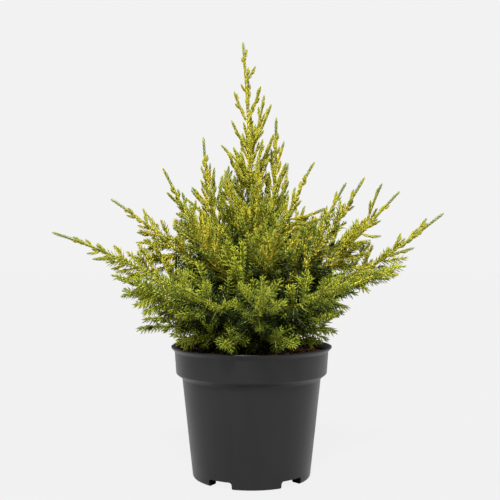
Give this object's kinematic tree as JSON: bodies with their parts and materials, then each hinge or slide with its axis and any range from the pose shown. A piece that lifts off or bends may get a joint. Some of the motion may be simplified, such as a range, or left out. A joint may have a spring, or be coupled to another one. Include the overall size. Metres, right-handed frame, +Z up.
{
  "type": "potted conifer",
  "caption": "spreading golden conifer with upright leader and arching plumes of needle foliage, growing from compost in a round black plastic pot with a collared rim and notched foot ring",
  "frame": {"origin": "centre of the pot's underside, on the surface that the pot stands on", "axes": "+Z up along the pot's axis and the plant's height, +X to the viewer's right, +Y away from the viewer"},
  "size_m": [0.4612, 0.379, 0.511],
  "materials": {
    "pot": "satin moulded black plastic",
    "compost": "loose dark bark and peat compost",
    "bark": "rough brown bark",
    "foliage_gold": "matte golden needles",
    "foliage_green": "matte lime to dark green needles"
  },
  "bodies": {
    "root": {"bough_low_back": "bark", "bough_low_back_right": "bark", "bough_low_front": "bark", "bough_low_front_left": "bark", "bough_low_front_right": "bark", "bough_low_left": "bark", "bough_low_left_back": "bark", "bough_low_left_front": "bark", "bough_low_right": "bark", "bough_low_right_front": "bark", "bough_mid_back": "bark", "bough_mid_back_left": "bark", "bough_mid_back_right": "bark", "bough_mid_front": "bark", "bough_mid_front_left": "bark", "bough_mid_front_right": "bark", "bough_mid_left": "bark", "bough_mid_right": "bark", "bough_mid_right_back": "bark", "compost": "compost", "foliage_inner_front": "foliage_green", "foliage_leader": "foliage_gold", "foliage_low_back": "foliage_green", "foliage_low_back_right": "foliage_green", "foliage_low_front": "foliage_green", "foliage_low_front_left": "foliage_green", "foliage_low_front_right": "foliage_green", "foliage_low_left": "foliage_green", "foliage_low_left_back": "foliage_green", "foliage_low_left_front": "foliage_green", "foliage_low_right": "foliage_green", "foliage_low_right_front": "foliage_green", "foliage_mid_back": "foliage_gold", "foliage_mid_back_left": "foliage_gold", "foliage_mid_back_right": "foliage_gold", "foliage_mid_front": "foliage_gold", "foliage_mid_front_left": "foliage_gold", "foliage_mid_front_right": "foliage_gold", "foliage_mid_left": "foliage_gold", "foliage_mid_left_front": "foliage_gold", "foliage_mid_right": "foliage_gold", "foliage_mid_right_back": "foliage_gold", "foliage_skirt_1": "foliage_green", "foliage_skirt_2": "foliage_green", "foliage_skirt_3": "foliage_green", "foliage_skirt_4": "foliage_green", "foliage_skirt_5": "foliage_green", "foliage_skirt_6": "foliage_green", "foliage_skirt_7": "foliage_green", "foliage_skirt_8": "foliage_green", "foliage_skirt_9": "foliage_green", "foliage_upper_back_left": "foliage_gold", "foliage_upper_back_right": "foliage_gold", "foliage_upper_front": "foliage_gold", "foliage_upper_front_left": "foliage_gold", "foliage_upper_front_right": "foliage_gold", "foliage_upper_left": "foliage_gold", "foliage_upper_right": "foliage_gold", "pot": "pot", "trunk": "bark"}
  },
  "joints": []
}
